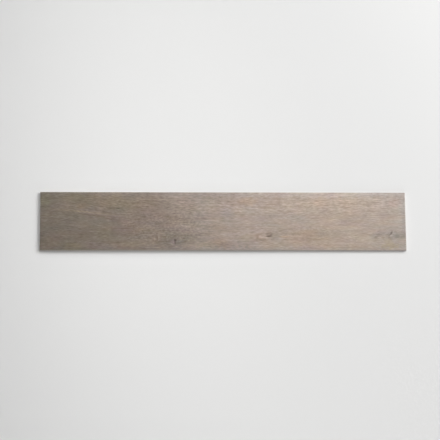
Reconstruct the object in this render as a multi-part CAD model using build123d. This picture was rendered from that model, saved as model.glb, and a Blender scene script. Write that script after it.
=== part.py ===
from build123d import *
import os

# A plank of porcelain floor and wall tile, pressed and fired as one piece. It lies face up. The origin is the centre
# of the plane that the back's ribs stand on, +X runs along the plank and +Z points out of the glazed face.

# Driving dimensions, in millimetres and degrees

length = 1200.0
width = 193.0
thickness = 10.0

# Ground edges: a fine bevel all round the glazed face, and another round the back
face_bevel = 0.5
back_bevel = 0.5

# Keyed back: shallow drafted cells that the adhesive fills, with ribs between them and a plain band round them
cell_depth = 0.6
cell_draft = 30.0
cell_pitch = 21.0
rib_width = 3.0
band_width = 14.0


def even_count(size):
    """How many cells fit along one size of the plank: an even number, so that a rib runs down its middle."""
    field = size - 2 * band_width + rib_width
    return 2 * max(1, round(field / cell_pitch / 2))


def pitch_for(size):
    """The distance from cell to cell that fills the plank between its bands."""
    return (size - 2 * band_width + rib_width) / even_count(size)


def blank():
    """The rectified plank before its edges are ground: a plain slab standing on z = 0."""
    return extrude(Rectangle(length, width), amount=thickness)


def grind_edges(tile):
    """Bevels the rim of the glazed face and the rim of the back."""
    tile = chamfer(tile.faces().sort_by(Axis.Z)[-1].edges(), face_bevel)
    return chamfer(tile.faces().sort_by(Axis.Z)[0].edges(), back_bevel)


def cell_punches():
    """The press punch's studs: one drafted block for each cell, wide at the back and narrower at its floor."""
    pitch_x = pitch_for(length)
    pitch_y = pitch_for(width)
    mouth = Rectangle(pitch_x - rib_width, pitch_y - rib_width)
    stud = extrude(mouth, amount=cell_depth, taper=cell_draft)
    return [place * stud for place in GridLocations(pitch_x, pitch_y, even_count(length), even_count(width))]


def porcelain_tile():
    """The whole tile: ground slab, less the cells that key its back."""
    tile = grind_edges(blank()) - cell_punches()
    tile.label = "porcelain_tile"
    return tile


os.makedirs("parts", exist_ok=True)
export_step(porcelain_tile(), "parts/porcelain_tile.step")
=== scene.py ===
"""The looks of a wood-look porcelain plank tile: its printed face, ground edges and keyed back."""

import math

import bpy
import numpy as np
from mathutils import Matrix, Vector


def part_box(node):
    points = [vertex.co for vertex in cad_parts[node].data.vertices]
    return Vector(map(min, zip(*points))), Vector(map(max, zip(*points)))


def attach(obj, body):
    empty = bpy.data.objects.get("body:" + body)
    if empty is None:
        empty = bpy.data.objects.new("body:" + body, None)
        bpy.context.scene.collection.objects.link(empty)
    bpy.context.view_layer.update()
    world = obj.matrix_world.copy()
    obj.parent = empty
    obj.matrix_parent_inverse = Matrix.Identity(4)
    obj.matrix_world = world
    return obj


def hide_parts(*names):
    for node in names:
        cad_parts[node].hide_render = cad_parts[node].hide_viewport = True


bl_info = {
    "name": "Porcelain Plank Tile",
    "version": (1, 0, 0),
    "blender": (4, 5, 0),
    "location": "View3D > Sidebar > Tile",
    "description": "Builds a porcelain plank tile with a printed oak face, ground edges and a keyed back",
    "category": "Add Mesh",
}

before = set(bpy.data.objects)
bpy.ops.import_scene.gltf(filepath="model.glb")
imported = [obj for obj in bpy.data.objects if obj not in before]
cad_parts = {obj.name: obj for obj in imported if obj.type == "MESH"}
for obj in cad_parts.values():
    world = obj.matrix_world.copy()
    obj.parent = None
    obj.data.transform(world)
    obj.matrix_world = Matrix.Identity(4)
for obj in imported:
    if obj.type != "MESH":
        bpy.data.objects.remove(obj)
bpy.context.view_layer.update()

TILE_NODE = "porcelain_tile"

low_corner, high_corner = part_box(TILE_NODE)
LENGTH, WIDTH, THICKNESS = high_corner - low_corner

# The three materials on the tile, in the order of its material slots
PRINTED_FACE, GROUND_EDGE, KEYED_BACK = range(3)

# The mesh attribute of the grain: how far along it, how far across it, and how deep a pore is there
GRAIN = "grain"

# The knots of the printed plank: the middle of each, and the half length and half height of its eye
KNOTS = {
    "slit_knot": ((-0.157, -0.069), (0.010, 0.009)),
    "round_knot": ((0.150, -0.046), (0.010, 0.008)),
    "split_knot": ((0.550, -0.047), (0.012, 0.009)),
}

# Tints that a mark lays over the print. Each multiplies the colour under it.
PALE = (1.30, 1.30, 1.31)
STRAW = (1.27, 1.25, 1.15)
DARK = (0.52, 0.47, 0.44)
SOOT = (0.50, 0.46, 0.47)
BARK = (0.40, 0.34, 0.30)
UMBER = (0.72, 0.66, 0.61)
OCHRE = (1.02, 1.00, 0.84)
OLIVE = (0.95, 1.00, 0.86)
ORANGE = (1.08, 0.99, 0.88)
TAN = (0.98, 0.945, 0.87)
ROSE = (1.06, 0.98, 0.99)
MAUVE = (0.90, 0.86, 0.89)
LILAC = (1.02, 0.98, 1.07)
PLUM = (0.68, 0.62, 0.63)
SLATE = (0.92, 0.96, 1.00)
STEEL = (0.82, 0.84, 0.87)
MOSS = (0.78, 0.83, 0.82)
LICHEN = (0.78, 0.80, 0.76)
FROST = (1.07, 1.10, 1.14)

# Stains of the print and one band of painted shade, placed by hand: middle, half length, half height, turn in
# degrees, tint, strength
STAINS_AND_SHADE = (
    # Along the upper and the lower edge, and down the +X end
    ((0.0, 0.092), 0.640, 0.012, 0, FROST, 0.9),
    # Painted shade: a darker band along the lower edge, which faces away from the light
    ((0.0, -0.094), 0.640, 0.008, 0, SLATE, 0.9),
    ((0.597, -0.005), 0.010, 0.080, 0, STEEL, 0.6),
    # Broad drifts of colour, from the tile's -X end to its +X end
    ((-0.587, 0.064), 0.020, 0.024, 0, OLIVE, 0.7),
    ((-0.554, -0.050), 0.040, 0.022, 0, ROSE, 0.7),
    ((-0.495, -0.086), 0.040, 0.012, 0, OCHRE, 0.7),
    ((-0.460, 0.050), 0.022, 0.008, 0, ORANGE, 0.8),
    ((-0.417, -0.080), 0.040, 0.014, 0, LILAC, 0.5),
    ((-0.395, 0.066), 0.130, 0.024, -4, OCHRE, 0.6),
    ((-0.390, -0.040), 0.036, 0.015, 10, OLIVE, 0.6),
    ((-0.347, 0.006), 0.036, 0.014, -8, MAUVE, 0.9),
    ((-0.325, -0.030), 0.056, 0.019, 0, MAUVE, 0.8),
    ((-0.300, -0.080), 0.040, 0.014, 0, OLIVE, 0.3),
    ((-0.232, 0.005), 0.080, 0.034, -6, MAUVE, 0.6),
    ((-0.160, -0.062), 0.062, 0.032, 0, MOSS, 0.60),
    ((-0.182, 0.084), 0.034, 0.014, 0, STEEL, 0.35),
    ((-0.050, -0.091), 0.044, 0.008, 0, STEEL, 0.35),
    ((0.026, -0.046), 0.062, 0.012, 2, PALE, 0.42),
    ((-0.009, -0.073), 0.026, 0.014, 0, TAN, 0.6),
    ((0.006, -0.080), 0.024, 0.010, 0, UMBER, 0.35),
    ((0.014, 0.021), 0.024, 0.028, 0, SLATE, 0.7),
    ((0.065, -0.093), 0.060, 0.008, 0, MOSS, 0.45),
    ((0.080, 0.067), 0.034, 0.014, 0, ORANGE, 0.8),
    ((0.169, -0.050), 0.022, 0.018, 0, STEEL, 0.70),
    ((0.228, 0.010), 0.050, 0.016, -5, SLATE, 0.7),
    ((0.262, -0.034), 0.070, 0.020, -4, UMBER, 0.18),
    ((0.262, -0.056), 0.070, 0.024, 4, TAN, 0.8),
    ((0.193, 0.029), 0.030, 0.014, 0, PALE, 0.15),
    ((0.200, 0.070), 0.036, 0.014, 0, PALE, 0.20),
    ((0.347, -0.044), 0.044, 0.014, 0, MOSS, 0.45),
    ((0.370, 0.088), 0.190, 0.010, 0, FROST, 0.9),
    ((0.372, 0.080), 0.110, 0.014, -3, PALE, 0.22),
    ((0.380, 0.062), 0.130, 0.016, 0, ORANGE, 0.3),
    ((0.425, 0.006), 0.040, 0.024, 0, UMBER, 0.25),
    ((0.508, -0.046), 0.032, 0.011, 16, MOSS, 0.65),
    ((0.520, -0.040), 0.030, 0.012, 10, MAUVE, 0.6),
    ((0.576, -0.049), 0.034, 0.016, 0, LICHEN, 0.85),
    ((0.548, -0.083), 0.034, 0.008, 0, OCHRE, 0.8),
    ((0.567, 0.062), 0.024, 0.016, 0, ROSE, 0.8),
    ((0.585, -0.068), 0.014, 0.009, 0, ROSE, 0.8),
)

# Smaller marks with truer edges: pale flecks, and what shows at each knot
FLECKS = (
    ((-0.500, 0.0345), 0.080, 0.0030, -4, STRAW, 0.55),
    ((-0.420, 0.0265), 0.100, 0.0028, -5.4, STRAW, 0.60),
    ((-0.430, 0.020), 0.120, 0.0026, -5.4, UMBER, 0.40),
    ((-0.457, 0.003), 0.016, 0.0018, 0, PALE, 0.60),
    ((-0.457, -0.003), 0.014, 0.0018, 0, PALE, 0.60),
    ((-0.377, 0.0125), 0.011, 0.0026, -12, PALE, 0.80),
    ((-0.375, 0.0070), 0.011, 0.0022, -12, UMBER, 0.80),
    ((-0.374, 0.0015), 0.010, 0.0022, -8, PALE, 0.60),
    ((-0.304, -0.0705), 0.020, 0.0020, -3, PALE, 0.70),
    ((-0.121, 0.057), 0.016, 0.0018, 0, PALE, 0.50),
    ((-0.124, -0.0165), 0.022, 0.0024, 0, PALE, 0.65),
    ((-0.045, 0.002), 0.022, 0.0024, -3, PALE, 0.60),
    ((0.222, -0.040), 0.040, 0.0024, 0, UMBER, 0.45),
    ((0.232, -0.050), 0.040, 0.0026, 2, PALE, 0.35),
    ((0.299, -0.048), 0.040, 0.0026, 0, UMBER, 0.40),
    ((0.280, -0.059), 0.040, 0.0024, -3, UMBER, 0.40),
    ((0.356, 0.004), 0.014, 0.0040, 8, PALE, 0.35),
    # The slit knot
    ((-0.227, -0.060), 0.0030, 0.0080, 0, PALE, 0.70),
    ((-0.218, -0.057), 0.0024, 0.0070, 0, UMBER, 0.55),
    ((-0.213, -0.057), 0.0026, 0.0080, 0, PALE, 0.50),
    ((-0.195, -0.054), 0.0055, 0.0045, 0, UMBER, 0.55),
    ((-0.195, -0.0675), 0.0240, 0.0022, 0, UMBER, 0.50),
    ((-0.183, -0.077), 0.0110, 0.0028, -18, UMBER, 0.60),
    ((-0.169, -0.084), 0.0120, 0.0026, 0, UMBER, 0.50),
    ((-0.160, -0.051), 0.0055, 0.0034, 0, UMBER, 0.45),
    ((-0.134, -0.057), 0.0060, 0.0040, 0, UMBER, 0.50),
    ((-0.129, -0.068), 0.0050, 0.0034, 0, UMBER, 0.50),
    ((-0.142, -0.067), 0.0150, 0.0034, 0, SLATE, 0.90),
    ((-0.149, -0.073), 0.0110, 0.0075, 0, MOSS, 0.60),
    ((-0.167, -0.070), 0.0095, 0.0085, 0, LILAC, 1.00),
    ((-0.176, -0.067), 0.0070, 0.0050, 0, PLUM, 0.40),
    ((-0.159, -0.063), 0.0050, 0.0042, 0, DARK, 0.90),
    ((-0.1595, -0.069), 0.0040, 0.0080, 0, SOOT, 0.80),
    # The round knot
    ((0.118, -0.036), 0.0180, 0.0044, 6, PALE, 0.45),
    ((0.114, -0.044), 0.0170, 0.0042, 20, UMBER, 0.60),
    ((0.123, -0.0525), 0.0100, 0.0060, 0, PALE, 0.45),
    ((0.109, -0.055), 0.0050, 0.0080, -20, UMBER, 0.55),
    ((0.125, -0.062), 0.0160, 0.0036, -8, UMBER, 0.60),
    ((0.096, -0.065), 0.0140, 0.0040, 0, MAUVE, 0.90),
    ((0.160, -0.061), 0.0070, 0.0030, 0, UMBER, 0.50),
    ((0.187, -0.032), 0.0080, 0.0036, 0, UMBER, 0.45),
    ((0.196, -0.052), 0.0180, 0.0040, 0, ORANGE, 0.80),
    ((0.137, -0.0545), 0.0100, 0.0026, -6, PALE, 0.65),
    ((0.148, -0.0435), 0.0130, 0.0085, 8, PLUM, 0.75),
    ((0.1465, -0.0505), 0.0085, 0.0032, 2, DARK, 0.85),
    ((0.155, -0.047), 0.0040, 0.0040, 40, DARK, 0.40),
    # The split knot
    ((0.510, -0.048), 0.0140, 0.0060, 20, UMBER, 0.35),
    ((0.499, -0.055), 0.0060, 0.0050, 30, UMBER, 0.50),
    ((0.524, -0.054), 0.0060, 0.0050, 0, UMBER, 0.60),
    ((0.538, -0.047), 0.0090, 0.0034, 20, UMBER, 0.60),
    ((0.541, -0.070), 0.0160, 0.0110, 0, OCHRE, 0.55),
    ((0.545, -0.057), 0.0060, 0.0042, 0, UMBER, 0.75),
    ((0.543, -0.066), 0.0045, 0.0030, 0, UMBER, 0.45),
    ((0.548, -0.083), 0.0220, 0.0026, 2, UMBER, 0.50),
    ((0.5505, -0.048), 0.0030, 0.0060, -20, PALE, 0.60),
    ((0.5515, -0.039), 0.0034, 0.0072, -28, BARK, 0.85),
    ((0.545, -0.046), 0.0026, 0.0050, -40, UMBER, 0.75),
    ((0.570, -0.049), 0.0085, 0.0075, 0, LICHEN, 0.60),
)


# The face's points stand closer at a knot: how much closer, and how far round it in half lengths of its eye
KNOT_CROWDING = 2.5
CROWDED_REACH = 1.3
CROWDING_SAMPLES = 2000

# The grain wanders along and across the plank: how far it strays, and the length and height of one wave
WANDER_ALONG = (0.004, 0.05, 0.02)
BROAD_WANDER = (0.0035, 0.24, 0.09)
FINE_WANDER = (0.0008, 0.07, 0.03)

# Left of the middle the upper grain runs downhill to the right
DOWNHILL_START = -0.57
DOWNHILL_LENGTH = 0.25
DOWNHILL_DROP = 0.028
DOWNHILL_LEVEL = 0.02
DOWNHILL_HALF_HEIGHT = 0.045

# The grain spreads round a knot: how much, and how far round it in half lengths and half heights of its eye
KNOT_SPREAD = 0.72
SPREAD_LENGTH = 2.6
SPREAD_HEIGHT = 2.2

# The pressed pores and fibre lines, scattered along and across the grain to a little past the plank. Half the
# length of the shortest is PORE_HALF_LENGTH, and of the longest PORE_STRETCH more.
PORE_COUNT = 2600
PORE_MIDDLES = (-0.62, 0.62)
PORE_LEVELS = (-0.10, 0.13)
PORE_HALF_LENGTH = 0.005
PORE_STRETCH = 0.030
PORE_HALF_HEIGHTS = (0.0005, 0.0010)
PORE_DEPTHS = (0.25, 1.0)

# A little more than the grain strays along the plank
GRAIN_SLACK = 0.005

# The gentle waves of the relief: the share of each kind, and the length and height of one wave
BROAD_WAVES = (0.6, 0.11, 0.010)
FINE_WAVES = (0.4, 0.035, 0.0045)

# Seed of the mesh's random draws
RANDOM_SEED = 12

# How much of the bevel's width the relief may take up at the rim of the face
RELIEF_ON_BEVEL = 0.6

# The square map that the materials bake through. The face and the back each lie on it as two half planks.
MAP_MARGIN = 0.004
MAP_STRIPS = {
    PRINTED_FACE: ((0.595, 0.995), (0.190, 0.590)),
    KEYED_BACK: ((0.125, 0.184), (0.060, 0.119)),
}

# The edges lie under them: the two ends side by side in the lowest strip, then the +Y and the -Y side
EDGE_STRIP_HEIGHT = 0.014
END_STRIP = 0.004
FAR_SIDE_STRIP = 0.022
NEAR_SIDE_STRIP = 0.040
END_MIDDLES = (0.25, 0.75)
END_RUN = 0.48

# How large the floor of a cell is drawn on the map, so that its steep walls get some width
DRAWN_FLOOR = 0.88

# The random streaks of the print: the length and height of one, how fine its detail is, and its seed
STREAKS = {
    "bands": (0.200, 0.0065, 1.0, 1.0),
    "clouds": (0.050, 0.0220, 1.0, 6.0),
    "dashes": (0.0155, 0.0021, 1.0, 2.0),
    "threads": (0.090, 0.0022, 0.0, 7.0),
    "fibres": (0.016, 0.0008, 1.0, 3.0),
    "curls": (0.009, 0.0060, 1.0, 4.0),
    "drift": (0.140, 0.0450, 1.0, 5.0),
    "blush": (0.085, 0.0350, 1.0, 8.0),
    "warmth": (0.070, 0.0300, 1.0, 9.0),
}

# How many cells each step of the seed moves a kind of streak along and across
SEED_STEP = (37.3, 11.9, 0.0)

# Where the grain turns curly, written as the stains are but without a tint
CURLY_ZONES = (
    ((-0.195, -0.022), 0.160, 0.060, 0, 1.0),
    ((0.280, -0.040), 0.090, 0.028, 0, 0.6),
)

# How strongly each kind of streak shows in the figure, and two of them first in straight grain, then in curly
BAND_CONTRAST = 0.22
CLOUD_CONTRAST = 0.32
FIBRE_CONTRAST = 0.66
DASH_CONTRAST = (0.76, 0.54)
CURL_CONTRAST = (0.10, 0.80)

# How far red, green and blue follow the figure, so that pale strokes are a little greyer
FIGURE_TINT = (0.94, 1.0, 1.10)

# How far red, green and blue shift in the patches of these streaks
PATCH_TINTS = {"blush": (0.07, -0.06, 0.04), "warmth": (0.08, 0.0, -0.18)}

# How widely uneven patches shift the print's colour along the plank
DRIFT_REACH = 0.16

# A mark is gone past the first of these shares of its half size, and full within the second
MARK_FADE = (1.35, 0.45)

# A mark is this thick, so that a point's height doesn't count
MARK_THICKNESS = 1000.0

# How far the edges of the stains and the painted shade, and of the flecks, wander
STAINS_AND_SHADE_WANDER = 0.030
FLECK_WANDER = 0.002

# The dark grit of the fired body, on the ground edge and on the back
EDGE_GRIT = (0.12, 0.10, 0.09)
BACK_GRIT = (0.15, 0.13, 0.11)

# The heights over the foot of the ribs at which the kiln wash ends, and at which it is full
WASH_HEIGHTS = (0.00030, 0.00002)

# Colour of the even light from all round
FILL_COLOUR = (1.0, 0.995, 0.985)

# The floor fades out between its radius and FLOOR_FADE times that. Its sheet reaches a little further.
FLOOR_FADE = 1.4
FLOOR_REACH = 1.5

# The floor lies this little under the ribs, so that the two share no plane
FLOOR_GAP = 0.0001

# The soft lights: place of each, the spot that it is turned to, its width, and its spread in degrees
SOFT_LIGHTS = {
    "key": ((4.75, 2.22, 3.84), (0, 0, 0), 3.6, 180.0),
    "side": ((-0.62, 1.88, 1.30), (-0.35, -0.22, 0), 1.2, 35.7),
    "front": ((0.20, -2.60, 1.30), (0, 0, 0), 1.5, 180.0),
    "top": ((1.05, -0.15, 1.93), (1.05, -0.15, 0), 1.5, 180.0),
    "back": ((0.95, 1.90, 2.40), (0.70, 1.00, 0), 1.5, 180.0),
}


def lengths(label, description, default):
    return bpy.props.FloatProperty(
        name=label, description=description, default=default, min=0.0, unit="LENGTH", precision=5
    )


def angles(label, description, degrees):
    return bpy.props.FloatProperty(
        name=label, description=description, default=math.radians(degrees), subtype="ANGLE"
    )


def places(label, description, default):
    return bpy.props.FloatVectorProperty(
        name=label, description=description, default=default, size=3, unit="LENGTH"
    )


def powers(label, description, default):
    return bpy.props.FloatProperty(
        name=label, description=description, default=default, min=0.0, unit="POWER"
    )


def colours(label, description, default):
    return bpy.props.FloatVectorProperty(
        name=label, description=description, default=default, size=3, min=0.0, max=1.0, subtype="COLOR"
    )


class TileSizes(bpy.types.PropertyGroup):
    face_bevel: lengths("Face bevel", "Width of the bevel ground round the glazed face", 0.0005)
    back_bevel: lengths("Back bevel", "Width of the bevel round the back", 0.0005)
    cell_depth: lengths("Cell depth", "Depth of the keying cells in the back", 0.0006)
    cell_pitch: lengths("Cell pitch", "About the distance from one cell to the next", 0.021)
    rib_width: lengths("Rib width", "Width of the ribs between the cells", 0.003)
    band_width: lengths("Band width", "Plain band round the cells of the back", 0.014)
    cell_draft: angles("Cell draft", "Slope of the cell walls", 30)
    pore_depth: lengths("Pore depth", "Depth of the pressed pores of the wood relief", 0.00026)
    swell_depth: lengths("Swell depth", "Depth of the gentle waves of the wood relief", 0.00016)
    knot_depth: lengths("Knot depth", "Depth of the dished knots of the wood relief", 0.00030)
    column_step: lengths("Column step", "Distance between the face's points along the grain", 0.0034)
    row_step: lengths("Row step", "Distance between the face's points across the grain", 0.00086)


class TileColours(bpy.types.PropertyGroup):
    dark_end: colours("Dark end", "The print at the tile's -X end", (0.136, 0.1115, 0.086))
    brown: colours("Brown", "The print a quarter of the way along", (0.197, 0.1545, 0.121))
    rosy: colours("Rosy grey", "The print in its middle", (0.334, 0.268, 0.226))
    sand: colours("Sand", "The print three quarters of the way along", (0.396, 0.313, 0.251))
    pale_end: colours("Pale end", "The print at the tile's +X end", (0.363, 0.304, 0.264))
    body: colours("Fired body", "The porcelain under the glaze, on the ground edges", (0.49, 0.435, 0.40))
    kiln_wash: colours("Kiln wash", "Pale powder that the kiln leaves on the ribs", (0.66, 0.64, 0.61))


class StageSettings(bpy.types.PropertyGroup):
    floor: colours("Floor", "Colour of the pale floor", (0.825, 0.825, 0.820))
    backdrop: colours("Backdrop", "Pale surroundings that the camera and reflections see", (0.80, 0.80, 0.79))
    floor_radius: lengths("Floor radius", "Where the floor starts to fade into the backdrop", 1.1)
    lens: bpy.props.FloatProperty(
        name="Lens", description="Focal length on a 36 mm sensor, in millimetres", default=140.14, min=1.0
    )
    camera_place: places("Camera", "Where the camera stands", (-0.311, -1.100, 5.504))
    camera_aim: places("Aim", "What the camera looks at", (-0.0126, 0.0037, 0.01))
    camera_roll: angles("Roll", "Turn of the camera about its line of sight", -0.531)
    key_power: powers("Key power", "Power of the large soft light on the right", 285.0)
    side_power: powers("Side power", "Power of the gridded light behind the left end", 1.73)
    front_power: powers("Front power", "Power of the soft light on the -Y side", 17.5)
    top_power: powers("Top power", "Power of the soft light overhead, past the right end", 4.5)
    back_power: powers("Back power", "Power of the soft light on the +Y side", 29.4)
    fill: bpy.props.FloatProperty(
        name="Fill", description="Strength of the even light from all round", default=0.098, min=0.0
    )


# The face of the plank, as points on a grid


def face_columns(sizes):
    """Where the face's columns of points stand: closer at the knots, with one in the middle."""
    half = LENGTH / 2 - sizes.face_bevel
    fine = np.linspace(0, half, CROWDING_SAMPLES)
    sides = []
    for side in (-1, 1):
        crowding = np.ones_like(fine)
        for (x, _), (half_length, _) in KNOTS.values():
            away = (side * fine - x) / (CROWDED_REACH * half_length)
            crowding += KNOT_CROWDING * np.exp(-(away**2))
        steps = (crowding[1:] + crowding[:-1]) / 2 * np.diff(fine)
        travelled = np.concatenate([[0], np.cumsum(steps)])
        count = round(travelled[-1] / sizes.column_step)
        sides.append(side * np.interp(np.linspace(0, travelled[-1], count + 1), travelled, fine))
    return np.concatenate([sides[0][:0:-1], sides[1]])


def face_rows(sizes):
    """Where the face's rows of points stand, evenly across the plank."""
    half = WIDTH / 2 - sizes.face_bevel
    return np.linspace(-half, half, round(2 * half / sizes.row_step) + 1)


def smoothed(share):
    """share from 0 to 1, with a soft start and end."""
    return share * share * (3 - 2 * share)


def smooth_noise(x, y, waves, rng):
    """Smooth random waves. The three values say how far they reach, and how long and high one of them is."""
    reach, length, height = waves
    u = (x - x.min()) / length
    v = (y - y.min()) / height
    values = rng.uniform(-1, 1, (int(u.max()) + 2, int(v.max()) + 2))
    i = u.astype(int)
    j = v.astype(int)
    s = smoothed(u - i)
    t = smoothed(v - j)
    near = values[i, j] * (1 - s) + values[i + 1, j] * s
    far = values[i, j + 1] * (1 - s) + values[i + 1, j + 1] * s
    return reach * (near * (1 - t) + far * t)


def run_of_grain(x, y, rng):
    """Where each point lies along and across the grain, which wanders, and swells round the knots."""
    along = x + smooth_noise(x, y, WANDER_ALONG, rng)
    across = y + smooth_noise(x, y, BROAD_WANDER, rng)
    across = across + smooth_noise(x, y, FINE_WANDER, rng)
    fall = smoothed(np.clip((x - DOWNHILL_START) / DOWNHILL_LENGTH, 0, 1))
    off_level = (y - DOWNHILL_LEVEL) / DOWNHILL_HALF_HEIGHT
    across = across + DOWNHILL_DROP * fall * np.exp(-(off_level**2))
    for (knot_x, knot_y), (half_length, half_height) in KNOTS.values():
        away_x = (x - knot_x) / (SPREAD_LENGTH * half_length)
        away_y = (y - knot_y) / (SPREAD_HEIGHT * half_height)
        across = across - KNOT_SPREAD * (y - knot_y) * np.exp(-(away_x**2) - away_y**2)
    return along, across


def pressed_pores(columns, along, across, rng):
    """Depth from 0 to 1 of the pores and fibre lines, each a short stroke along the grain."""
    pores = np.zeros_like(along)
    for _ in range(PORE_COUNT):
        middle = rng.uniform(*PORE_MIDDLES)
        level = rng.uniform(*PORE_LEVELS)
        half_length = PORE_HALF_LENGTH + PORE_STRETCH * rng.random() ** 2
        half_height = rng.uniform(*PORE_HALF_HEIGHTS)
        depth = rng.uniform(*PORE_DEPTHS)
        reach = half_length + GRAIN_SLACK
        first, last = np.searchsorted(columns, (middle - reach, middle + reach))
        run = (along[first:last] - middle) / half_length
        rise = (across[first:last] - level) / half_height
        stroke = depth * np.clip(1 - run * run, 0, 1) * np.exp(-rise * rise)
        pores[first:last] = np.maximum(pores[first:last], stroke)
    return pores


def wood_relief(sizes, x, y, along, across, pores, rng):
    """How far the pressed face lies under the top of the tile."""
    waves = smooth_noise(along, across, BROAD_WAVES, rng)
    waves = waves + smooth_noise(along, across, FINE_WAVES, rng)
    depth = sizes.pore_depth * pores + sizes.swell_depth * (0.5 + 0.5 * waves)
    for (knot_x, knot_y), (half_length, half_height) in KNOTS.values():
        away = ((x - knot_x) / half_length) ** 2 + ((y - knot_y) / half_height) ** 2
        depth = depth + sizes.knot_depth * np.exp(-away)
    return depth - depth.min()


# The mesh of the tile


class Shell:
    """Corners and faces of the tile, as they are added."""

    def __init__(self):
        self.corners = []
        self.faces = []
        self.finishes = []
        self.count = 0

    def add_corners(self, points):
        """Adds the points and returns their numbers, in the shape they came in."""
        points = np.asarray(points, float)
        flat = points.reshape(-1, 3)
        numbers = np.arange(self.count, self.count + len(flat)).reshape(points.shape[:-1])
        self.corners.append(flat)
        self.count += len(flat)
        return numbers

    def add_faces(self, faces, finish):
        faces = np.asarray(faces).tolist()
        self.faces += faces
        self.finishes += [finish] * len(faces)

    def add_grid(self, numbers, finish):
        """Faces that look up, over a grid of corners that runs along +X and then along +Y."""
        around = (numbers[:-1, :-1], numbers[1:, :-1], numbers[1:, 1:], numbers[:-1, 1:])
        self.add_faces(np.stack([k.ravel() for k in around], 1), finish)


def ring_of(grid):
    """The four rims of a grid, from corner to corner, against the clock as seen from above."""
    return [grid[:, 0], grid[-1, :], grid[::-1, -1], grid[0, ::-1]]


def rim_corners(shell, rims, half_length, half_width, height):
    """A ring of corners at one height round the tile, above or below the given rims of a grid."""
    ends = ((-1, -1), (1, -1), (1, 1), (-1, 1))
    posts = shell.add_corners([(sx * half_length, sy * half_width, height) for sx, sy in ends])
    # Each side leaves one axis free and holds the other at this place
    sides = ((0, -half_width), (1, half_length), (0, half_width), (1, -half_length))
    ring = []
    for side, (free_axis, fixed) in enumerate(sides):
        inner = rims[side][1:-1]
        points = np.full((len(inner), 3), height)
        points[:, free_axis] = inner[:, free_axis]
        points[:, 1 - free_axis] = fixed
        numbers = shell.add_corners(points)
        ring.append(np.concatenate([[posts[side]], numbers, [posts[(side + 1) % 4]]]))
    return ring


def join_rims(shell, upper, lower, finish):
    """Quads between two rings that have the same number of corners."""
    for top, bottom in zip(upper, lower):
        shell.add_faces(np.stack([bottom[:-1], bottom[1:], top[1:], top[:-1]], 1), finish)


def stitch_rims(shell, upper, lower, points, finish):
    """Triangles between two rings whose corners stand at different places along each side."""
    for side, (top, bottom) in enumerate(zip(upper, lower)):
        axis = side % 2
        way = 1 if side < 2 else -1
        at_top = way * points[top][:, axis]
        at_bottom = way * points[bottom][:, axis]
        i = j = 0
        while i < len(top) - 1 or j < len(bottom) - 1:
            if j == len(bottom) - 1 or (i < len(top) - 1 and at_top[i + 1] <= at_bottom[j + 1]):
                shell.add_faces([(bottom[j], top[i + 1], top[i])], finish)
                i += 1
            else:
                shell.add_faces([(bottom[j], bottom[j + 1], top[i])], finish)
                j += 1


def cell_edges(sizes, size):
    """Where the mouths of the back's cells begin and end along one size of the tile."""
    field = size - 2 * sizes.band_width + sizes.rib_width
    count = 2 * max(1, round(field / sizes.cell_pitch / 2))
    starts = -field / 2 + sizes.rib_width / 2 + np.arange(count) * field / count
    return np.stack([starts, starts + field / count - sizes.rib_width], 1)


def add_back(shell, sizes):
    """The ribbed back with its drafted cells. Returns its corners as a grid, and the cells' floors."""
    half_length = LENGTH / 2 - sizes.back_bevel
    half_width = WIDTH / 2 - sizes.back_bevel
    lines_x = np.concatenate([[-half_length], cell_edges(sizes, LENGTH).ravel(), [half_length]])
    lines_y = np.concatenate([[-half_width], cell_edges(sizes, WIDTH).ravel(), [half_width]])
    x, y = np.meshgrid(lines_x, lines_y, indexing="ij")
    grid = shell.add_corners(np.stack([x, y, np.zeros_like(x)], -1))
    lean = sizes.cell_depth * math.tan(sizes.cell_draft)
    floors = []
    for i in range(len(lines_x) - 1):
        for j in range(len(lines_y) - 1):
            mouth = [grid[i, j], grid[i + 1, j], grid[i + 1, j + 1], grid[i, j + 1]]
            if i % 2 == 0 or j % 2 == 0:
                shell.add_faces([mouth[::-1]], KEYED_BACK)
                continue
            left = lines_x[i] + lean
            right = lines_x[i + 1] - lean
            near = lines_y[j] + lean
            far = lines_y[j + 1] - lean
            corners = [(left, near), (right, near), (right, far), (left, far)]
            floor = shell.add_corners([(cx, cy, sizes.cell_depth) for cx, cy in corners])
            floors.append(floor)
            shell.add_faces([floor[::-1]], KEYED_BACK)
            for k in range(4):
                n = (k + 1) % 4
                shell.add_faces([(mouth[k], floor[k], floor[n], mouth[n])], KEYED_BACK)
    return grid, np.array(floors)


def edge_on_map(points, middle, share):
    """Where a face of the ground edge lies on the map. share is how far each corner is down the edge."""
    on_end = abs(middle[0]) - LENGTH / 2 > abs(middle[1]) - WIDTH / 2
    if on_end:
        u = END_MIDDLES[int(middle[0] > 0)] + END_RUN * points[:, 1] / WIDTH
        low = END_STRIP
    else:
        u = 0.5 + (0.5 - MAP_MARGIN) * 2 * points[:, 0] / LENGTH
        low = FAR_SIDE_STRIP if middle[1] > 0 else NEAR_SIDE_STRIP
    return np.stack([u, low + EDGE_STRIP_HEIGHT * (1 - share)], 1)


def plank_on_map(points, middle, finish):
    """Where a face of the glazed side or of the back lies on the map. The back is seen from below."""
    side = 0 if middle[0] < 0 else 1
    low, high = MAP_STRIPS[finish][side]
    u = MAP_MARGIN + (1 - 2 * MAP_MARGIN) * (2 * points[:, 0] / LENGTH + (1 - side))
    if finish == KEYED_BACK:
        u = 1 - u
    return np.stack([u, low + (high - low) * (points[:, 1] / WIDTH + 0.5)], 1)


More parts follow.
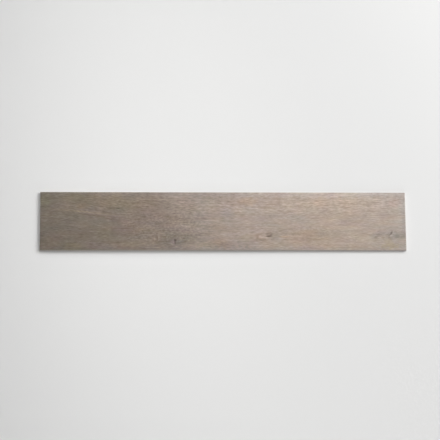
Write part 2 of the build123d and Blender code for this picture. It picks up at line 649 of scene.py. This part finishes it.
def unrolled_map(sizes, points, faces, finishes, floors):
    """Lays every face flat on one square: two strips each for face and back, and three for the edges."""
    # How far each point is down the edge, where the slope of a bevel is longer than its height
    longer = math.sqrt(2) - 1
    fallen = THICKNESS - points[:, 2]
    on_face_bevel = np.clip(fallen, 0, sizes.face_bevel)
    on_back_bevel = np.clip(fallen - (THICKNESS - sizes.back_bevel), 0, None)
    run = fallen + longer * (on_face_bevel + on_back_bevel)
    share = run / (THICKNESS + longer * (sizes.face_bevel + sizes.back_bevel))

    drawn = points[:, :2].copy()
    middles = drawn[floors].mean(1, keepdims=True)
    drawn[floors] = middles + (drawn[floors] - middles) * DRAWN_FLOOR

    placed_faces = []
    for face, finish in zip(faces, finishes):
        middle = points[face].mean(0)
        if finish == GROUND_EDGE:
            placed_faces.append(edge_on_map(points[face], middle, share[face]))
        else:
            placed_faces.append(plank_on_map(drawn[face], middle, finish))
    return np.concatenate(placed_faces)


def add_edges(shell, sizes, face, back):
    """The ground edges between the rims of the face and of the back: a bevel, a wall and a bevel."""
    face_rims = ring_of(face)
    back_rims = ring_of(back)
    corners = np.concatenate(shell.corners)
    over = [corners[rim] for rim in face_rims]
    under = [corners[rim] for rim in back_rims]
    bevel_foot = rim_corners(shell, over, LENGTH / 2, WIDTH / 2, THICKNESS - sizes.face_bevel)
    wall_foot = rim_corners(shell, under, LENGTH / 2, WIDTH / 2, sizes.back_bevel)
    join_rims(shell, face_rims, bevel_foot, GROUND_EDGE)
    stitch_rims(shell, bevel_foot, wall_foot, np.concatenate(shell.corners), GROUND_EDGE)
    join_rims(shell, wall_foot, back_rims, GROUND_EDGE)


def tile_mesh(sizes):
    """The whole tile as one closed mesh, with its grain and the map that its materials bake through."""
    rng = np.random.default_rng(RANDOM_SEED)
    columns = face_columns(sizes)
    x, y = np.meshgrid(columns, face_rows(sizes), indexing="ij")
    along, across = run_of_grain(x, y, rng)
    pores = pressed_pores(columns, along, across, rng)
    depth = wood_relief(sizes, x, y, along, across, pores, rng)

    # The ground bevel meets the relief a little further out where the face lies lower
    outward = np.minimum(depth, RELIEF_ON_BEVEL * sizes.face_bevel)
    for rim, way in ((0, -1), (-1, 1)):
        x[rim, :] += way * outward[rim, :]
        y[:, rim] += way * outward[:, rim]

    shell = Shell()
    face = shell.add_corners(np.stack([x, y, THICKNESS - depth], -1))
    shell.add_grid(face, PRINTED_FACE)
    back, floors = add_back(shell, sizes)
    add_edges(shell, sizes, face, back)
    corners = np.concatenate(shell.corners)

    mesh = bpy.data.meshes.new(TILE_NODE)
    mesh.from_pydata(corners.tolist(), [], shell.faces)
    mesh.polygons.foreach_set("material_index", shell.finishes)
    mesh.polygons.foreach_set("use_smooth", [finish == PRINTED_FACE for finish in shell.finishes])
    grain = np.zeros((len(corners), 3))
    grain[:, :2] = corners[:, :2]
    grain[face.ravel()] = np.stack([along.ravel(), across.ravel(), pores.ravel()], 1)
    mesh.attributes.new(GRAIN, "FLOAT_VECTOR", "POINT").data.foreach_set("vector", grain.ravel())
    bake_map = unrolled_map(sizes, corners, shell.faces, shell.finishes, floors)
    mesh.uv_layers.new(name="OFBake").uv.foreach_set("vector", bake_map.ravel())
    mesh.validate()
    mesh.update()
    return mesh


# Wiring of materials


def node(tree, kind, inputs=None, **settings):
    """Adds a node. Each input is a socket to link or a constant to set."""
    made = tree.nodes.new("ShaderNode" + kind)
    for name, value in settings.items():
        setattr(made, name, value)
    for name, value in (inputs or {}).items():
        if isinstance(value, bpy.types.NodeSocket):
            tree.links.new(value, made.inputs[name])
        else:
            made.inputs[name].default_value = value
    return made


def maths(tree, operation, first, second):
    return node(tree, "Math", {0: first, 1: second}, operation=operation).outputs[0]


def vectors(tree, operation, first, second):
    return node(tree, "VectorMath", {0: first, 1: second}, operation=operation).outputs[0]


def scaled(tree, vector, factor):
    return node(tree, "VectorMath", {0: vector, "Scale": factor}, operation="SCALE").outputs[0]


def ranged(tree, value, low, high, to_low=0.0, to_high=1.0, eased=True):
    """value brought from low..high to to_low..to_high, and held there outside."""
    inputs = {"Value": value, "From Min": low, "From Max": high, "To Min": to_low, "To Max": to_high}
    return node(tree, "MapRange", inputs, interpolation_type="SMOOTHSTEP" if eased else "LINEAR").outputs[0]


def blended(tree, share, first, second, how="MIX"):
    mix = node(tree, "Mix", {0: share, 6: first, 7: second}, data_type="RGBA", blend_type=how)
    return mix.outputs[2]


def new_group(name, inputs, outputs):
    """A shader node group with these sockets. Returns it with the nodes that hold its inputs and outputs."""
    tree = bpy.data.node_groups.new(name, "ShaderNodeTree")
    for label, kind, default in inputs:
        socket = tree.interface.new_socket(label, in_out="INPUT", socket_type="NodeSocket" + kind)
        socket.default_value = default
    for label, kind in outputs:
        tree.interface.new_socket(label, in_out="OUTPUT", socket_type="NodeSocket" + kind)
    return tree, tree.nodes.new("NodeGroupInput").outputs, tree.nodes.new("NodeGroupOutput").inputs


def placed(tree, group, inputs):
    """Places a group in a material and returns its outputs."""
    return node(tree, "Group", inputs, node_tree=group).outputs


def grain_streaks_group():
    """Random streaks about one cell long and high, as a value from 0 to 1."""
    group, given, result = new_group(
        "Grain Streaks",
        [
            ("Vector", "Vector", (0, 0, 0)),
            ("Length", "Float", 0.03),
            ("Height", "Float", 0.003),
            ("Detail", "Float", 2.0),
            ("Seed", "Float", 0.0),
        ],
        [("Value", "Float")],
    )
    cell = node(group, "CombineXYZ", {0: given["Length"], 1: given["Height"], 2: 1.0}).outputs[0]
    cells = vectors(group, "DIVIDE", given["Vector"], cell)
    moved = vectors(group, "ADD", cells, scaled(group, SEED_STEP, given["Seed"]))
    inputs = {"Vector": moved, "Scale": 1.0, "Detail": given["Detail"], "Roughness": 0.55}
    noise = node(group, "TexNoise", inputs, noise_dimensions="2D")
    group.links.new(noise.outputs["Fac"], result["Value"])
    return group


def print_mark_group():
    """A soft oval laid at one place of the print, as a mask from 0 to 1."""
    group, given, result = new_group(
        "Print Mark",
        [
            ("Vector", "Vector", (0, 0, 0)),
            ("Middle", "Vector", (0, 0, 0)),
            ("Half Length", "Float", 0.01),
            ("Half Height", "Float", 0.01),
            ("Turn", "Float", 0.0),
            ("Strength", "Float", 1.0),
        ],
        [("Mask", "Float")],
    )
    away = vectors(group, "SUBTRACT", given["Vector"], given["Middle"])
    back = maths(group, "MULTIPLY", given["Turn"], -1.0)
    level = node(group, "VectorRotate", {"Vector": away, "Angle": back}, rotation_type="Z_AXIS").outputs[0]
    sides = {0: given["Half Length"], 1: given["Half Height"], 2: MARK_THICKNESS}
    size = node(group, "CombineXYZ", sides).outputs[0]
    oval = node(group, "VectorMath", {0: vectors(group, "DIVIDE", level, size)}, operation="LENGTH")
    mask = ranged(group, oval.outputs["Value"], *MARK_FADE)
    group.links.new(maths(group, "MULTIPLY", mask, given["Strength"]), result["Mask"])
    return group


def fired_grit_group():
    """The grit of fired clay: fine specks, and a cloudy tone."""
    group, given, result = new_group(
        "Fired Grit",
        [("Vector", "Vector", (0, 0, 0)), ("Size", "Float", 0.0012)],
        [("Specks", "Float"), ("Clouds", "Float")],
    )
    scale = maths(group, "DIVIDE", 1.0, given["Size"])
    specks = node(group, "TexNoise", {"Vector": given["Vector"], "Scale": scale, "Detail": 2.0})
    cloud_scale = maths(group, "MULTIPLY", scale, 0.06)
    clouds = node(group, "TexNoise", {"Vector": given["Vector"], "Scale": cloud_scale, "Detail": 3.0})
    group.links.new(ranged(group, specks.outputs["Fac"], 0.56, 0.68), result["Specks"])
    group.links.new(clouds.outputs["Fac"], result["Clouds"])
    return group


def new_material(name):
    """An empty node material. Returns it with its Principled BSDF."""
    material = bpy.data.materials.new(name)
    material.use_nodes = True
    material.node_tree.nodes.clear()
    shader = node(material.node_tree, "BsdfPrincipled")
    output = node(material.node_tree, "OutputMaterial")
    material.node_tree.links.new(shader.outputs[0], output.inputs["Surface"])
    return material, shader


def around_one(tree, value, contrast):
    """1 plus contrast times how far value, a noise, is from its middle."""
    swing = maths(tree, "SUBTRACT", value, 0.5)
    return node(tree, "Math", {0: swing, 1: contrast, 2: 1.0}, operation="MULTIPLY_ADD").outputs[0]


def colour_run(tree, value, stops):
    """A colour that runs through the stops, each a value and a colour."""
    ramp = node(tree, "ValToRGB", {"Fac": value})
    elements = ramp.color_ramp.elements
    while len(elements) < len(stops):
        elements.new(0.5)
    for element, (position, colour) in zip(elements, stops):
        element.position = position
        element.color = (*colour, 1.0)
    return ramp.outputs["Color"]


def print_streaks(tree, group, grain):
    """The random streaks of the print, by name, each as a value from 0 to 1. They follow the grain."""
    values = {}
    for name, (length, height, detail, seed) in STREAKS.items():
        inputs = {"Vector": grain, "Length": length, "Height": height, "Detail": detail, "Seed": seed}
        values[name] = placed(tree, group, inputs)["Value"]
    return values


def marked(tree, group, where, middle, half_length, half_height, turn, strength):
    """One mark of the print, as a mask. where is the point at which the mark is looked up."""
    inputs = {
        "Vector": where,
        "Middle": (*middle, 0.0),
        "Half Length": half_length,
        "Half Height": half_height,
        "Turn": math.radians(turn),
        "Strength": strength,
    }
    return placed(tree, group, inputs)["Mask"]


def colour_along(tree, palette, x, drift):
    """The print's colour, which drifts along the plank in uneven patches."""
    strayed = maths(tree, "MULTIPLY", maths(tree, "SUBTRACT", drift, 0.5), DRIFT_REACH)
    share = ranged(tree, maths(tree, "ADD", x, strayed), -LENGTH / 2, LENGTH / 2, eased=False)
    stops = (
        (0.0, palette.dark_end),
        (0.29, palette.brown),
        (0.55, palette.rosy),
        (0.83, palette.sand),
        (1.0, palette.pale_end),
    )
    return colour_run(tree, share, stops)


def wood_figure(tree, streaks, x, y, pores, curly):
    """How far the figure of the wood lifts or sinks the print, round 0."""
    contrasts = {
        "bands": BAND_CONTRAST,
        "clouds": CLOUD_CONTRAST,
        "dashes": ranged(tree, curly, 0.0, 1.0, *DASH_CONTRAST),
        "fibres": FIBRE_CONTRAST,
        "curls": ranged(tree, curly, 0.0, 1.0, *CURL_CONTRAST),
    }
    figure = 1.0
    for name, contrast in contrasts.items():
        figure = maths(tree, "MULTIPLY", figure, around_one(tree, streaks[name], contrast))

    # The highest threads are pale lines in the print, and the lowest are dark ones
    threads = streaks["threads"]
    figure = maths(tree, "ADD", figure, ranged(tree, threads, 0.64, 0.72, 0.0, 0.12))
    figure = maths(tree, "ADD", figure, ranged(tree, threads, 0.28, 0.36, -0.11, 0.0))

    # It is darker in the pores, and paler towards the +Y edge
    figure = maths(tree, "MULTIPLY", figure, ranged(tree, pores, 0.0, 1.0, 1.03, 0.82))
    figure = maths(tree, "MULTIPLY", figure, ranged(tree, y, -0.10, 0.10, 0.955, 1.125))

    # It is stronger at the dark end
    vigour = ranged(tree, x, -0.35, 0.35, 1.10, 0.82, eased=False)
    return maths(tree, "MULTIPLY", maths(tree, "SUBTRACT", figure, 1.0), vigour)


def with_marks(tree, group, place, colour):
    """The colour with the stains, a band of painted shade along the lower edge, and the flecks laid over it.
    Stains and the shade band wander more at their edges.
    """
    unevenness = node(tree, "TexNoise", {"Vector": place, "Scale": 90.0, "Detail": 3.0}).outputs["Color"]
    shift = vectors(tree, "SUBTRACT", unevenness, (0.5, 0.5, 0.5))
    for marks, wander in ((STAINS_AND_SHADE, STAINS_AND_SHADE_WANDER), (FLECKS, FLECK_WANDER)):
        where = vectors(tree, "ADD", place, scaled(tree, shift, wander))
        for middle, half_length, half_height, turn, tint, strength in marks:
            mask = marked(tree, group, where, middle, half_length, half_height, turn, strength)
            colour = blended(tree, mask, colour, (*tint, 1.0), "MULTIPLY")
    return colour


def printed_glaze(palette, streaks_group, mark_group):
    """The satin glaze over a print of weathered oak, which darkens towards the tile's -X end."""
    material, shader = new_material("printed_glaze")
    tree = material.node_tree
    place = node(tree, "TexCoord").outputs["Object"]
    x, y, _ = node(tree, "SeparateXYZ", {0: place}).outputs
    grain = node(tree, "Attribute", attribute_name=GRAIN).outputs["Vector"]
    pores = node(tree, "SeparateXYZ", {0: grain}).outputs[2]
    streaks = print_streaks(tree, streaks_group, grain)
    curly = 0.0
    for zone in CURLY_ZONES:
        curly = maths(tree, "MAXIMUM", curly, marked(tree, mark_group, place, *zone))

    lift = scaled(tree, FIGURE_TINT, wood_figure(tree, streaks, x, y, pores, curly))
    for name, tint in PATCH_TINTS.items():
        lift = vectors(tree, "ADD", lift, scaled(tree, tint, maths(tree, "SUBTRACT", streaks[name], 0.5)))
    colour = colour_along(tree, palette, x, streaks["drift"])
    colour = vectors(tree, "MULTIPLY", colour, vectors(tree, "ADD", lift, (1.0, 1.0, 1.0)))
    tree.links.new(with_marks(tree, mark_group, place, colour), shader.inputs["Base Color"])

    fibres = streaks["fibres"]
    dashes = streaks["dashes"]
    shine = around_one(tree, dashes, 0.30)
    tree.links.new(maths(tree, "MULTIPLY", shine, 0.46), shader.inputs["Roughness"])
    height = maths(tree, "ADD", maths(tree, "MULTIPLY", fibres, 0.7), maths(tree, "MULTIPLY", dashes, 0.3))
    bump = node(tree, "Bump", {"Strength": 0.5, "Distance": 0.00012, "Height": height})
    tree.links.new(bump.outputs[0], shader.inputs["Normal"])
    return material


def ground_body(palette, grit):
    """Fired porcelain body as a diamond wheel leaves it: matt, gritty, with faint lines along the edge."""
    material, shader = new_material("ground_body")
    tree = material.node_tree
    place = node(tree, "TexCoord").outputs["Object"]
    fired = placed(tree, grit, {"Vector": place, "Size": 0.0011})
    stretched = vectors(tree, "MULTIPLY", place, (25.0, 25.0, 2600.0))
    lines = node(tree, "TexNoise", {"Vector": stretched, "Scale": 1.0, "Detail": 2.0}).outputs["Fac"]
    colour = scaled(tree, (*palette.body,), around_one(tree, fired["Clouds"], 0.35))
    colour = scaled(tree, colour, around_one(tree, lines, 0.25))
    colour = blended(tree, maths(tree, "MULTIPLY", fired["Specks"], 0.35), colour, (*EDGE_GRIT, 1.0))
    tree.links.new(colour, shader.inputs["Base Color"])
    tree.links.new(ranged(tree, lines, 0.3, 0.7, 0.55, 0.75), shader.inputs["Roughness"])
    bump = node(tree, "Bump", {"Strength": 0.4, "Distance": 0.00008, "Height": lines})
    tree.links.new(bump.outputs[0], shader.inputs["Normal"])
    return material


def keyed_back(palette, grit):
    """The unglazed back: bare body in the cells, with worn kiln wash on the ribs and the band."""
    material, shader = new_material("keyed_back")
    tree = material.node_tree
    place = node(tree, "TexCoord").outputs["Object"]
    height = node(tree, "SeparateXYZ", {0: place}).outputs[2]
    fired = placed(tree, grit, {"Vector": place, "Size": 0.0016})
    colour = scaled(tree, (*palette.body,), around_one(tree, fired["Clouds"], 0.5))
    inputs = {"Vector": place, "Scale": 60.0, "Detail": 6.0, "Roughness": 0.7}
    patches = node(tree, "TexNoise", inputs).outputs["Fac"]
    worn = ranged(tree, patches, 0.38, 0.60)
    on_ribs = ranged(tree, height, *WASH_HEIGHTS)
    wash = maths(tree, "MULTIPLY", maths(tree, "MULTIPLY", worn, on_ribs), 0.85)
    colour = blended(tree, wash, colour, (*palette.kiln_wash, 1.0))
    colour = blended(tree, maths(tree, "MULTIPLY", fired["Specks"], 0.4), colour, (*BACK_GRIT, 1.0))
    tree.links.new(colour, shader.inputs["Base Color"])
    tree.links.new(ranged(tree, wash, 0.0, 0.8, 0.68, 0.92), shader.inputs["Roughness"])
    grain = maths(tree, "ADD", fired["Specks"], patches)
    bump = node(tree, "Bump", {"Strength": 0.5, "Distance": 0.00015, "Height": grain})
    tree.links.new(bump.outputs[0], shader.inputs["Normal"])
    return material


# The stage


def pale_floor(settings):
    """A matt pale floor that turns clear past its radius, where the backdrop takes over."""
    material, shader = new_material("pale_floor")
    tree = material.node_tree
    shader.inputs["Base Color"].default_value = (*settings.floor, 1.0)
    shader.inputs["Roughness"].default_value = 0.9
    shader.inputs["Specular IOR Level"].default_value = 0.1
    place = node(tree, "TexCoord").outputs["Object"]
    far = node(tree, "VectorMath", {0: place}, operation="LENGTH").outputs["Value"]
    clear = node(tree, "BsdfTransparent")
    share = ranged(tree, far, settings.floor_radius, FLOOR_FADE * settings.floor_radius)
    mix = node(tree, "MixShader", {0: share, 1: shader.outputs[0], 2: clear.outputs[0]})
    tree.links.new(mix.outputs[0], tree.nodes["Material Output"].inputs["Surface"])
    return material


def add_floor(settings):
    radius = FLOOR_REACH * settings.floor_radius
    mesh = bpy.data.meshes.new("floor")
    corners = [(-radius, -radius), (radius, -radius), (radius, radius), (-radius, radius)]
    mesh.from_pydata([(x, y, 0.0) for x, y in corners], [], [(0, 1, 2, 3)])
    mesh.materials.append(pale_floor(settings))
    floor = bpy.data.objects.new("floor", mesh)
    floor.location.z = -FLOOR_GAP
    bpy.context.scene.collection.objects.link(floor)


def add_soft_light(name, power, place, aim, width, spread):
    """A round softbox at place, turned to aim. A spread under 180 degrees is a grid on its front."""
    lamp = bpy.data.lights.new(name, "AREA")
    lamp.shape = "DISK"
    lamp.size = width
    lamp.energy = power
    lamp.spread = math.radians(spread)
    light = bpy.data.objects.new(name, lamp)
    light.location = place
    light.rotation_euler = (Vector(aim) - Vector(place)).to_track_quat("-Z", "Y").to_euler()
    light.visible_camera = False
    bpy.context.scene.collection.objects.link(light)


def add_backdrop(settings):
    """Even light from all round, behind which the camera and reflections see the pale backdrop."""
    world = bpy.data.worlds.new("backdrop")
    world.use_nodes = True
    tree = world.node_tree
    tree.nodes.clear()
    lit = node(tree, "Background", {"Color": (*FILL_COLOUR, 1.0), "Strength": settings.fill})
    seen = node(tree, "Background", {"Color": (*settings.backdrop, 1.0), "Strength": 1.0})
    path = node(tree, "LightPath").outputs
    sees = maths(tree, "MAXIMUM", path["Is Camera Ray"], path["Is Glossy Ray"])
    sees = maths(tree, "MAXIMUM", sees, path["Is Transmission Ray"])
    mix = node(tree, "MixShader", {0: sees, 1: lit.outputs[0], 2: seen.outputs[0]})
    output = node(tree, "OutputWorld", {"Surface": mix.outputs[0]})
    output.is_active_output = True
    bpy.context.scene.world = world


def add_camera(settings):
    """The camera stands almost straight over the tile, with +Y up in the picture."""
    place = Vector(settings.camera_place)
    aim = Vector(settings.camera_aim)
    forward = (aim - place).normalized()
    right = forward.cross(Vector((0.0, 1.0, 0.0))).normalized()
    up = right.cross(forward)
    turned = Matrix((right, up, -forward)).transposed() @ Matrix.Rotation(settings.camera_roll, 3, "Z")
    lens = bpy.data.cameras.new("camera")
    lens.lens = settings.lens
    camera = bpy.data.objects.new("camera", lens)
    camera.matrix_world = Matrix.Translation(place) @ turned.to_4x4()
    bpy.context.scene.collection.objects.link(camera)
    bpy.context.scene.camera = camera


# The add-on


class PLANK_OT_add_tile(bpy.types.Operator):
    """Build the tile over its solid, with its relief and its three finishes"""

    bl_idname = "plank.add_tile"
    bl_label = "Add Tile"

    def execute(self, context):
        mesh = tile_mesh(context.scene.tile_sizes)
        palette = context.scene.tile_colours
        grit = fired_grit_group()
        mesh.materials.append(printed_glaze(palette, grain_streaks_group(), print_mark_group()))
        mesh.materials.append(ground_body(palette, grit))
        mesh.materials.append(keyed_back(palette, grit))
        tile = bpy.data.objects.new("plank_tile", mesh)
        context.scene.collection.objects.link(tile)
        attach(tile, "root")
        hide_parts(TILE_NODE)
        return {"FINISHED"}


class PLANK_OT_add_stage(bpy.types.Operator):
    """Lay the pale floor, hang the soft lights and set the camera over the tile"""

    bl_idname = "plank.add_stage"
    bl_label = "Add Stage"

    def execute(self, context):
        settings = context.scene.tile_stage
        add_camera(settings)
        add_floor(settings)
        add_backdrop(settings)
        for name, light in SOFT_LIGHTS.items():
            add_soft_light(name + "_light", getattr(settings, name + "_power"), *light)
        context.scene.view_settings.view_transform = "Standard"
        return {"FINISHED"}


class VIEW3D_PT_plank(bpy.types.Panel):
    """Lists the tile's sizes and colours, the stage and both operators"""

    bl_label = "Porcelain Plank"
    bl_category = "Tile"
    bl_space_type = "VIEW_3D"
    bl_region_type = "UI"

    def draw(self, context):
        for group in (context.scene.tile_sizes, context.scene.tile_colours, context.scene.tile_stage):
            box = self.layout.box()
            for name in group.bl_rna.properties.keys():
                if name not in ("rna_type", "name"):
                    box.prop(group, name)
        self.layout.operator(PLANK_OT_add_tile.bl_idname)
        self.layout.operator(PLANK_OT_add_stage.bl_idname)


CLASSES = (TileSizes, TileColours, StageSettings, PLANK_OT_add_tile, PLANK_OT_add_stage, VIEW3D_PT_plank)


def register():
    for kind in CLASSES:
        bpy.utils.register_class(kind)
    bpy.types.Scene.tile_sizes = bpy.props.PointerProperty(type=TileSizes)
    bpy.types.Scene.tile_colours = bpy.props.PointerProperty(type=TileColours)
    bpy.types.Scene.tile_stage = bpy.props.PointerProperty(type=StageSettings)


def unregister():
    del bpy.types.Scene.tile_stage
    del bpy.types.Scene.tile_colours
    del bpy.types.Scene.tile_sizes
    for kind in reversed(CLASSES):
        bpy.utils.unregister_class(kind)


def main():
    register()
    bpy.ops.plank.add_tile()
    bpy.ops.plank.add_stage()


if __name__ == "__main__":
    main()
